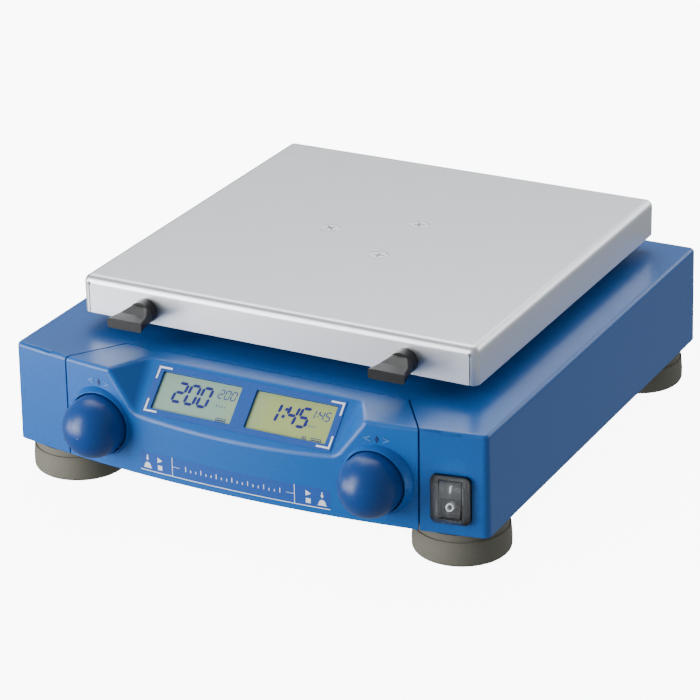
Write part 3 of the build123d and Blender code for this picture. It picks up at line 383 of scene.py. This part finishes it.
# Each end field: a divider with a short line towards the middle, a knob with an arrow that presses it,
# and a start sign over a stop sign. The outlines are in millimetres, the arrow's from its tip and the
# signs' from the strip's lower edge, and the knob's dome is drawn in steps of 20 degrees.
divider = 35.0 * mm
divider_half = 0.18 * mm
divider_reach = 4.5 * mm
knob_mark = 50.0 * mm
collar_low = strip_low + 1.2 * mm
collar_half = 2.6 * mm
dome_low = collar_low + 0.6 * mm
dome_half = 2.0 * mm
dome_height = 2.6 * mm
dome_step = 20
arrow_low = collar_low + 4.0 * mm
press_arrow = [(0, 0), (0.9, 1.5), (0.35, 1.5), (0.35, 3.2), (-0.35, 3.2), (-0.35, 1.5), (-0.9, 1.5)]
sign_mark = 42.5 * mm
start_sign = [(-1.4, 5.2), (1.5, 6.7), (-1.4, 8.2)]
stop_sign = [(-1.3, 1.4), (1.3, 1.4), (1.3, 4.0), (-1.3, 4.0)]
marks = []
for side in (-1, 1):
    x = side * divider
    marks.append(rectangle(x - divider_half, strip_low, 2 * divider_half, strip_high - strip_low))
    left, right = sorted((x - side * divider_half, x - side * divider_reach))
    marks.append(rectangle(left, strip_middle - divider_half / 2, right - left, divider_half))
    x = side * knob_mark
    dome = [(x - collar_half, collar_low), (x + collar_half, collar_low)]
    for degrees in range(0, 180 + dome_step, dome_step):
        turn = math.radians(degrees)
        dome.append((x + dome_half * math.cos(turn), dome_low + dome_height * math.sin(turn)))
    marks.append(dome)
    marks.append([(x + u * mm, arrow_low + v * mm) for u, v in press_arrow])
    for sign in (start_sign, stop_sign):
        marks.append([(side * sign_mark + u * mm, strip_low + v * mm) for u, v in sign])

# The scale in the middle of the strip.
ticks_each_side = 9
long_every = 3
tick_gap = 3.0 * mm
tick_half = 0.22 * mm
tick_low = strip_middle - 1.0 * mm
long_tick = 2.6 * mm
short_tick = 1.4 * mm
for step in range(-ticks_each_side, ticks_each_side + 1):
    tall = long_tick if step % long_every == 0 else short_tick
    marks.append(rectangle(step * tick_gap - tick_half, tick_low, 2 * tick_half, tall))
piece("legend_marks", prisms(marks, on_front, ink, ink), white_ink, "base")


# Direction marks. Above each knob an open arrow points each way from a small lozenge, because the
# knob turns without end. They are moulded proud of the panel, in its own plastic.

mark_offset = 79.0 * mm
mark_height = 63.6 * mm
mark_relief = 0.3 * mm

# Both outlines are in millimetres from the lozenge's middle.
open_arrow = [(7.2, 0), (3.2, 1.7), (3.2, 1.0), (5.3, 0), (3.2, -1.0), (3.2, -1.7)]
lozenge = [(0, -2.0), (0.9, 0), (0, 2.0), (-0.9, 0)]
arrows = []
lozenges = []
for side in (-1, 1):
    centre = side * mark_offset
    for way in (-1, 1):
        points = [(centre + way * u * mm, mark_height + v * mm) for u, v in open_arrow]
        arrows.append(points if way > 0 else points[::-1])
    lozenges.append([(centre + u * mm, mark_height + v * mm) for u, v in lozenge])

# The arrows are paler than the panel, a painted highlight on their raised edges, and the lozenges between
# them are dark, a painted shadow.
painted_highlight_blue, shader = finish("painted_highlight_blue_plastic", "#3f7cc0", Roughness=0.45)
tones(shader, grain(shader, 0.5 * mm, 0.005 * mm), "#3a77bb", "#4481c5")
piece("direction_arrows", prisms(arrows, on_front, mark_relief), painted_highlight_blue, "base")
# The lozenges' dark blue is painted shadow, not ink.
painted_shadow_blue, shader = finish("painted_shadow_blue_plastic", "#0a2a5c", Roughness=0.5)
tones(shader, grain(shader, 0.5 * mm, 0.004 * mm), "#092756", "#0c2e62")
piece("direction_bars", prisms(lozenges, on_front, mark_relief), painted_shadow_blue, "base")


# Push and turn knobs. Each is a hollow moulded half ball on a steel shaft.
# It turns an encoder behind the panel, and pressing it closes a switch there.

# Through-dyed plastic with a soft satin: darker and rounder in its shine than the panel.
knob_plastic, shader = finish("dyed_knob_plastic", "#063f86", Roughness=0.34, IOR=1.45)
tones(shader, grain(shader, 0.45 * mm, 0.006 * mm), "#053b80", "#07438c")
coat(knob_plastic, "knob_left", "knob_right")

# Bright turned steel: a clean reflection drawn out round the shaft by the tool's fine marks.
turned_steel, shader = finish("turned_steel", "#b4b5b8", Metallic=1.0, Roughness=0.28)
tones(shader, grain(shader, 0.3 * mm, 0.003 * mm, stretch=(1, 1, 6)), 0.24, 0.34, "Roughness")
coat(turned_steel, "knob_shaft_left", "knob_shaft_right", "motor_shaft", "crankshaft", "clamp_cam_left")
coat(turned_steel, "clamp_cam_right", "idler_crank_rear", "idler_crank_left", "idler_crank_right")


# Encoders and their boards. Glass-fibre boards with a green solder mask carry the small parts.
# The encoders stand on the control board behind the panel, and a ring on each shaft passes the push on.

# Glass-filled black plastic: dull, slightly mottled.
technical_black, shader = finish("glass_filled_black", "#2a2b2d", Roughness=0.55)
tones(shader, grain(shader, 0.35 * mm, 0.01 * mm), "#262729", "#303133")
coat(technical_black, "encoder_left", "encoder_right", "plunger_left", "plunger_right")

# Solder mask over copper: the tracks show as paler bands a few millimetres apart.
board_mask, shader = finish("green_solder_mask", "#1d6b3a", Roughness=0.32)
tones(shader, grain(shader, 2.5 * mm, 0.02 * mm, stretch=(1, 5, 5), detail=0.0), "#195f33", "#2a7d46")
coat(board_mask, "display_board", "control_board", "supply_board")


# Mains switch. A snap-in rocker switch in a black bezel, with the rocker pressed in at the top.
# A clear soft cover is stretched over the bezel to keep splashes out.

# Polyamide with a fine eroded grain: nearly black, with a dull and even sheen.
black_plastic, shader = finish("eroded_black_polyamide", "#0b0c0e", Roughness=0.40)
tones(shader, grain(shader, 0.4 * mm, 0.01 * mm), "#08090b", "#101114")
coat(black_plastic, "switch_body", "switch_rocker")

# Clear silicone: you see through it, and only its edges and folds catch the light.
clear_cover, shader = finish(
    "clear_silicone", "#e8eef2", Roughness=0.08, IOR=1.41, Transmission_Weight=1.0, Alpha=0.2
)
grain(shader, 2.0 * mm, 0.02 * mm)
coat(clear_cover, "switch_cover")

# The rocker's lean at rest, its half height, and how far its valley and crests stand off its axis.
rocker_turn = math.radians(-9)
rocker_half = 9.0 * mm
rocker_valley = 4.6 * mm
rocker_crest = 6.2 * mm
rocker_joint = next(joint for joint in frame["joints"] if joint["name"] == "switch_rock")
rocker_axis = Vector(rocker_joint["axis"]).normalized()
rocker_inward = Vector((0, 0, 1)).cross(rocker_axis)
rocker_axes = Matrix((rocker_axis, rocker_inward, (0, 0, 1))).transposed().to_4x4()
rocker_frame = Matrix.Translation(rocker_joint["pos_m"]) @ rocker_axes @ Matrix.Rotation(rocker_turn, 4, "X")


def on_rocker(u, v, lift):
    """Point on one of the rocker's two faces, measured from its valley."""
    slope = (rocker_crest - rocker_valley) / rocker_half
    tilt = math.atan(slope)
    out = rocker_valley + abs(v) * slope + lift * math.cos(tilt)
    return rocker_frame @ Vector((u, -out, v - math.copysign(lift * math.sin(tilt), v)))


# A ring on the lower face for off, and a stroke on the upper face for on.
ring_radius = 1.5 * mm
ring_line = 0.45 * mm
ring_height = -4.1 * mm
ring_steps = 32
stroke_half = 0.25 * mm
stroke_low = 3.3 * mm
stroke_height = 3.4 * mm
signs = []
for step in range(ring_steps):
    ends = [2 * math.pi * (step + k) / ring_steps for k in (0, 1)]
    inner = [(ring_radius * math.cos(a), ring_height + ring_radius * math.sin(a)) for a in ends]
    far = ring_radius + ring_line
    outer = [(far * math.cos(a), ring_height + far * math.sin(a)) for a in ends]
    signs.append([inner[0], outer[0], outer[1], inner[1]])
signs.append(rectangle(-stroke_half, stroke_low, 2 * stroke_half, stroke_height))
piece("rocker_marks", prisms(signs, on_rocker, ink), white_ink, "rocker")


# Base plate and feet. A heavy steel plate closes the housing and keeps the machine still.
# Four round moulded rubber feet are screwed up into it, each through the recess in its sole.

# Powder paint on steel plate: matt, with a coarse peel.
plate_paint, shader = finish("powder_painted_steel", "#37393b", Roughness=0.6)
tones(shader, grain(shader, 0.9 * mm, 0.03 * mm), "#333537", "#3d3f41")
coat(plate_paint, "base_plate")

# Soft moulded rubber: matt warm grey, slightly cloudy, with the mould's fine grain.
rubber, shader = finish("grey_foot_rubber", "#6f6d62", Roughness=0.72, Specular_IOR_Level=0.3)
tones(shader, grain(shader, 0.6 * mm, 0.005 * mm), "#6c6a5f", "#727065")
for place in ("front_left", "front_right", "rear_left", "rear_right"):
    coat(rubber, f"foot_{place}")

# Bright zinc on steel screws and the ground rings of bearings: small sharp reflections.
bright_zinc, shader = finish("bright_zinc_plate", "#c3c6ca", Metallic=1.0, Roughness=0.22)
tones(shader, grain(shader, 0.6 * mm, 0.002 * mm), 0.18, 0.28, "Roughness")
coat(bright_zinc, "foot_screws", "housing_screws", "block_screws", "counterweight_screws")
coat(bright_zinc, "main_bearings", "idler_bearings", "arm_bearings", "pin_bearing", "supply_standoffs")


# Drive. The motor turns a cup flywheel through a flat belt, on the shaft in the bearing block.
# The shaft's pin stands 2 mm off centre and carries the platform round, and a weight balances it.

# Grey iron, turned: dull metal with a darker, porous grain.
grey_iron, shader = finish("turned_grey_iron", "#6e6f72", Metallic=1.0, Roughness=0.46)
tones(shader, grain(shader, 0.5 * mm, 0.01 * mm), "#66676a", "#77787b")
coat(grey_iron, "flywheel")

# Mild steel left from the saw and drill: a dull grey with light scratches.
mild_steel, shader = finish("mild_steel", "#8d8f93", Metallic=1.0, Roughness=0.4)
tones(shader, grain(shader, 0.4 * mm, 0.006 * mm, stretch=(6, 1, 1)), 0.34, 0.48, "Roughness")
coat(mild_steel, "counterweight", "motor_bracket")

# Cast aluminium, shot-blasted: pale and matt with a sandy grain.
cast_alloy, shader = finish("blasted_cast_aluminium", "#a9abae", Metallic=1.0, Roughness=0.55)
tones(shader, grain(shader, 0.5 * mm, 0.03 * mm), "#a1a3a6", "#b1b3b6")
coat(cast_alloy, "bearing_block", "carrier", "motor_pulley", "idler_pedestal_rear")
coat(cast_alloy, "idler_pedestal_left", "idler_pedestal_right")

# Enamel on the motor can: dark, smooth and a little glossy.
enamel, shader = finish("dark_motor_enamel", "#26282b", Roughness=0.35)
tones(shader, grain(shader, 1.2 * mm, 0.01 * mm), "#232528", "#2b2d30")
coat(enamel, "motor")

# Woven-backed belt rubber: black and matt, with ribs 1 mm apart across its run.
belt_rubber, shader = finish("black_belt_rubber", "#1b1b1c", Roughness=0.7)
tones(shader, grain(shader, 1.0 * mm, 0.03 * mm, stretch=(1, 1, 0.2)), "#19191a", "#222223")
coat(belt_rubber, "drive_belt")


# Supply. A small glass-fibre board carries the transformer, whose core is a stack of steel plates.
# The board stands on four posts on the base plate.

# Stacked core plates: steel grey with the edges of the plates, 0.5 mm thick, one over the other.
core_plates, shader = finish("stacked_core_plates", "#56585c", Metallic=0.8, Roughness=0.5)
tones(shader, grain(shader, 0.5 * mm, 0.05 * mm, stretch=(0.1, 0.1, 1), detail=0.0), "#4c4e52", "#62646a")
coat(core_plates, "transformer")


# Rear connectors. A moulded appliance inlet, two fuse holders and a nickel-plated serial socket.
# They sit in openings in the back wall, and the socket is held from inside.

# Black thermoplastic with a little shine, as moulded.
socket_black, shader = finish("moulded_socket_black", "#1d1e20", Roughness=0.38)
tones(shader, grain(shader, 0.4 * mm, 0.008 * mm), "#1a1b1d", "#232426")
coat(socket_black, "mains_inlet", "fuse_holders")

# Nickel over brass: a warm, bright metal.
nickel, shader = finish("nickel_plate", "#c8c3b4", Metallic=1.0, Roughness=0.2)
tones(shader, grain(shader, 0.6 * mm, 0.002 * mm), 0.16, 0.26, "Roughness")
coat(nickel, "inlet_pins", "serial_socket")


# Tray. Stainless sheet folded down on all four sides, with the corners slit and tucked.
# Three countersunk screws hold it to the carrier.

# Stainless sheet with a fine ground finish: bright, soft reflections, drawn out along the grain.
stainless, shader = finish("ground_stainless_sheet", "#e6e9ee", Metallic=1.0, Roughness=0.40)
grind = grain(shader, 0.35 * mm, 0.0012 * mm, stretch=(0.05, 1, 1), detail=3.0)
tones(shader, grind, 0.38, 0.44, "Roughness")
coat(stainless, "tray")

# Radii of the screws' circle, a head and a shank, then a screw's length and its head's edge.
tray_low, tray_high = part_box("tray")
screw_circle = 27.5 * mm
screw_head = 4.95 * mm
screw_shank = 2.5 * mm
screw_length = 14.0 * mm
screw_edge = 0.25 * mm
round_steps = 48

# Where each screw stands round the circle, and how far its cross recess is turned, in degrees.
screw_turns = {60: 20, 180: 50, 300: 5}

# The recess: half length and width at the top, depth, and what is left of both at its floor.
recess_reach = 3.1 * mm
recess_line = 1.25 * mm
recess_depth = 2.4 * mm
floor_reach = 0.45 * recess_reach
floor_line = 0.6 * recess_line


def spun(profile, steps):
    """Closed solid turned about the Z axis from (radius, height) points, first and last on the axis."""
    mesh = bmesh.new()
    rings = []
    for radius, height in profile:
        if radius == 0:
            rings.append([mesh.verts.new((0, 0, height))])
            continue
        turns = [2 * math.pi * step / steps for step in range(steps)]
        rings.append([mesh.verts.new((radius * math.cos(a), radius * math.sin(a), height)) for a in turns])
    for near, far in zip(rings, rings[1:]):
        for i in range(steps):
            j = (i + 1) % steps
            corners = [near[i % len(near)], near[j % len(near)], far[j % len(far)], far[i % len(far)]]
            mesh.faces.new(list(dict.fromkeys(corners)))
    return mesh


def cut(target, cutter):
    """Take one object's shape out of another for good."""
    modifier = target.modifiers.new("recess", "BOOLEAN")
    modifier.object = cutter
    modifier.solver = "EXACT"
    result = bpy.data.meshes.new_from_object(target.evaluated_get(bpy.context.evaluated_depsgraph_get()))
    target.modifiers.clear()
    target.data = result
    bpy.data.objects.remove(cutter)


# Countersunk heads of ground stainless: a little paler and duller than the tray.
head_steel, shader = finish("ground_screw_head", "#f2f4f7", Metallic=1.0, Roughness=0.42)
tones(shader, grain(shader, 0.4 * mm, 0.001 * mm), 0.40, 0.45, "Roughness")

centre = (tray_low + tray_high) / 2
cone_low = screw_shank - screw_head - screw_edge
for number, (angle, turn) in enumerate(screw_turns.items(), 1):
    profile = [(0, 0), (screw_head - screw_edge, 0), (screw_head, -screw_edge), (screw_shank, cone_low)]
    profile += [(screw_shank, -screw_length), (0, -screw_length)]
    blank = formed(f"tray_screw_{number}", spun(profile, round_steps))
    for way in (0, 90):
        spin = Matrix.Rotation(math.radians(turn + way), 4, "Z")
        cross = bmesh.new()
        rows = []
        levels = (recess_reach, recess_line, screw_edge), (floor_reach, floor_line, -recess_depth)
        for half, line, z in levels:
            corners = rectangle(-half, -line / 2, 2 * half, line)
            rows.append([cross.verts.new(spin @ Vector((u, v, z))) for u, v in corners])
        high, low = rows
        cross.faces.new(low[::-1])
        cross.faces.new(high)
        walls(cross, low, high)
        cut(blank, formed("cutter", cross))
    spot = math.radians(angle)
    place = centre + Vector((screw_circle * math.cos(spot), screw_circle * math.sin(spot), 0))
    blank.data.transform(Matrix.Translation((place.x, place.y, tray_high.z)))
    blank.data.materials.clear()
    blank.data.materials.append(head_steel)
    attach(blank, "platform")
    if number == 1:
        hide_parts("tray_screws")


# Clamp knobs. Two moulded wing knobs of the switch's black polyamide, on the tray's front flange.
# A quarter turn of each swings its steel cam behind the flange.

coat(black_plastic, "clamp_knob_left", "clamp_knob_right")


# Studio. The object stands on white paper that glows, so its ground is as white as the photograph's.
# The paper lights nothing and shows in no reflection, because that would wash out the blues.
# A low key at the front left, a top light, a back light and a weak low bounce shape the forms.

floor_half = 20.0
floor = bmesh.new()
corners = rectangle(-floor_half, -floor_half, 2 * floor_half, 2 * floor_half)
floor.faces.new([floor.verts.new((x, y, 0)) for x, y in corners])
floor_data = bpy.data.meshes.new("studio_floor")
floor.to_mesh(floor_data)
floor.free()

# White paper: quite matt, with a faint tooth.
paper, shader = finish(
    "studio_paper", "#f6f7f8", Roughness=0.9, Emission_Strength=9.0, Emission_Color=linear("#f6f8fa")
)
tones(shader, grain(shader, 3.0 * mm, 0.02 * mm), "#f4f5f6", "#f8f9fa")
floor_data.materials.append(paper)
floor_object = bpy.data.objects.new("studio_floor", floor_data)
bpy.context.scene.collection.objects.link(floor_object)
floor_object.visible_glossy = False
floor_object.visible_diffuse = False

# A dim and slightly cold surround fills the shadows.
world = bpy.data.worlds.new("studio")
world.use_nodes = True
world.node_tree.nodes["Background"].inputs["Color"].default_value = linear("#eef2f6")
world.node_tree.nodes["Background"].inputs["Strength"].default_value = 0.45
bpy.context.scene.world = world

# The lights point at the middle of the object.
aim = Vector((0, 0, 0.05))


def softbox(name, place, width, height, power):
    """Rectangular area light turned towards the object."""
    data = bpy.data.lights.new(name, "AREA")
    data.shape = "RECTANGLE"
    data.size = width
    data.size_y = height
    data.energy = power
    made = bpy.data.objects.new(name, data)
    bpy.context.scene.collection.objects.link(made)
    made.location = place
    made.rotation_euler = (aim - Vector(place)).to_track_quat("-Z", "Y").to_euler()
    made.visible_camera = False


softbox("key_light", place=(-1.1, -1.45, 0.62), width=0.9, height=1.2, power=30)
softbox("top_light", place=(-0.6, 1.1, 1.9), width=1.8, height=1.6, power=34)
softbox("back_light", place=(0.9, 1.9, 1.0), width=2.0, height=0.9, power=16)
softbox("floor_bounce", place=(-0.55, -0.55, 0.04), width=0.7, height=0.3, power=5)

# The camera was fitted to the object's edges: its place, then turn, tilt and roll in radians.
camera_place = (0.67275, -1.26358, 0.67356)
turn = 0.49135
tilt = 0.41387
roll = -0.0215
camera_data = bpy.data.cameras.new("camera")
camera_data.lens = 151.11
camera_data.sensor_width = 36.0
camera_data.clip_end = 100.0
camera = bpy.data.objects.new("camera", camera_data)
bpy.context.scene.collection.objects.link(camera)
forward = Vector((-math.sin(turn) * math.cos(tilt), math.cos(turn) * math.cos(tilt), -math.sin(tilt)))
right = forward.cross(Vector((0, 0, 1))).normalized()
up = right.cross(forward)
leaning = Matrix.Rotation(roll, 3, -forward)
axes = Matrix((leaning @ right, leaning @ up, -forward)).transposed().to_4x4()
camera.matrix_world = Matrix.Translation(camera_place) @ axes
bpy.context.scene.camera = camera
